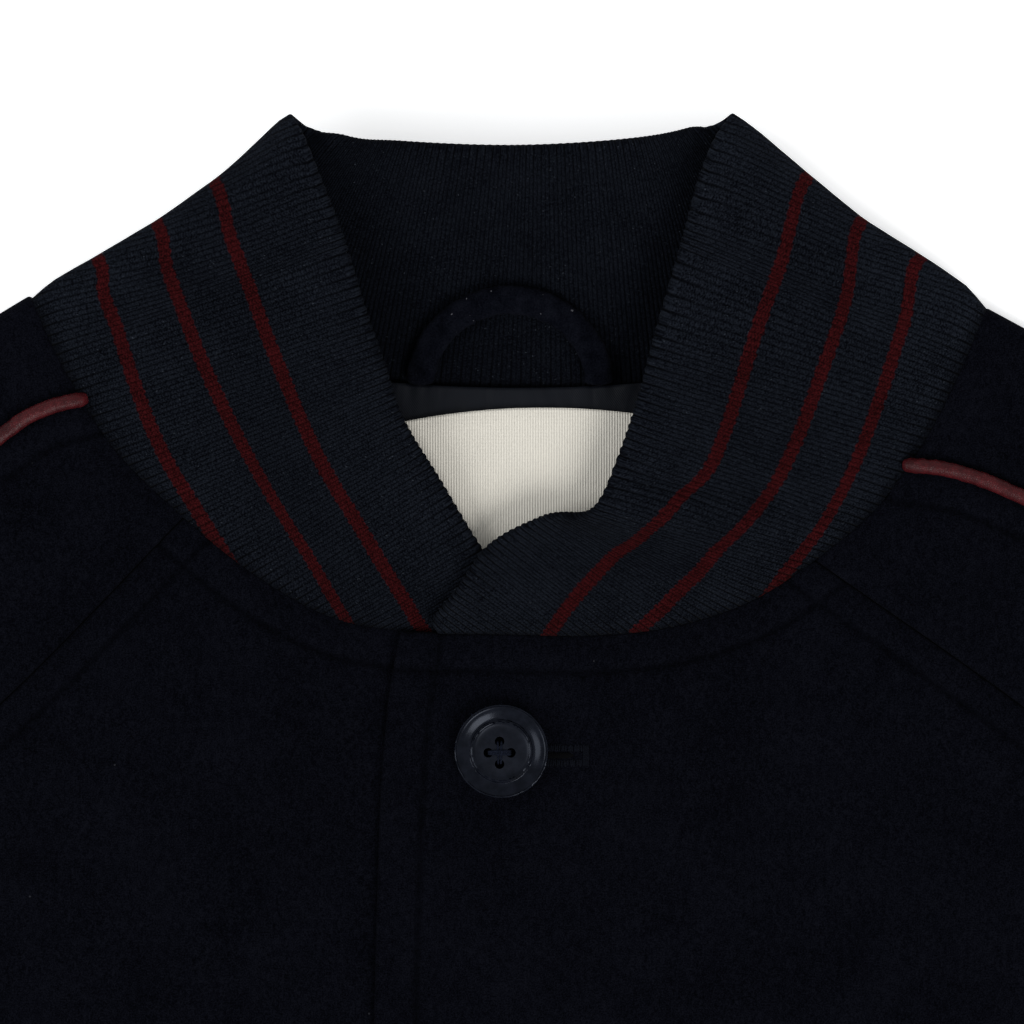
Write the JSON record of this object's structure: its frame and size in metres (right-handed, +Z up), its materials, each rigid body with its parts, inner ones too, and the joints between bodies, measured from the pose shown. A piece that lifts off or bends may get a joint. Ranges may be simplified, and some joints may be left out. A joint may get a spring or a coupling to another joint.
{
  "type": "varsity jacket, laid flat",
  "caption": "Wool varsity jacket laid flat on its back: raglan sleeves with leather piping, striped rib collar lapped at the neck, buttoned front, rib cuffs and hem.",
  "frame": {"origin": "on the surface that the jacket lies on, under the middle of its outline", "axes": "+X towards the wearer's left sleeve, +Y from the hem to the collar, +Z up from the surface, out of the front"},
  "size_m": [1.2136, 0.7441, 0.0257],
  "materials": {
    "melton_wool": "brushed wool melton, near-black navy",
    "rib_knit": "fine rib knit in dark navy, the collar with knitted burgundy stripes",
    "piping_leather": "smooth burgundy leather, semi-gloss",
    "lining_satin": "navy satin",
    "label_grosgrain": "off-white grosgrain, bare",
    "button": "polished dark navy resin"
  },
  "bodies": {
    "root": {"back": "melton_wool", "button_1": "button", "button_2": "button", "button_3": "button", "button_4": "button", "button_5": "button", "button_6": "button", "collar": "rib_knit", "cuff_left": "rib_knit", "cuff_right": "rib_knit", "front_left": "melton_wool", "front_right": "melton_wool", "hanger_loop": "lining_satin", "hem_band": "rib_knit", "label": "label_grosgrain", "neck_lining": "lining_satin", "piping_left": "piping_leather", "piping_right": "piping_leather", "sleeve_back_left": "melton_wool", "sleeve_back_right": "melton_wool", "sleeve_front_left": "melton_wool", "sleeve_front_right": "melton_wool"}
  },
  "joints": []
}
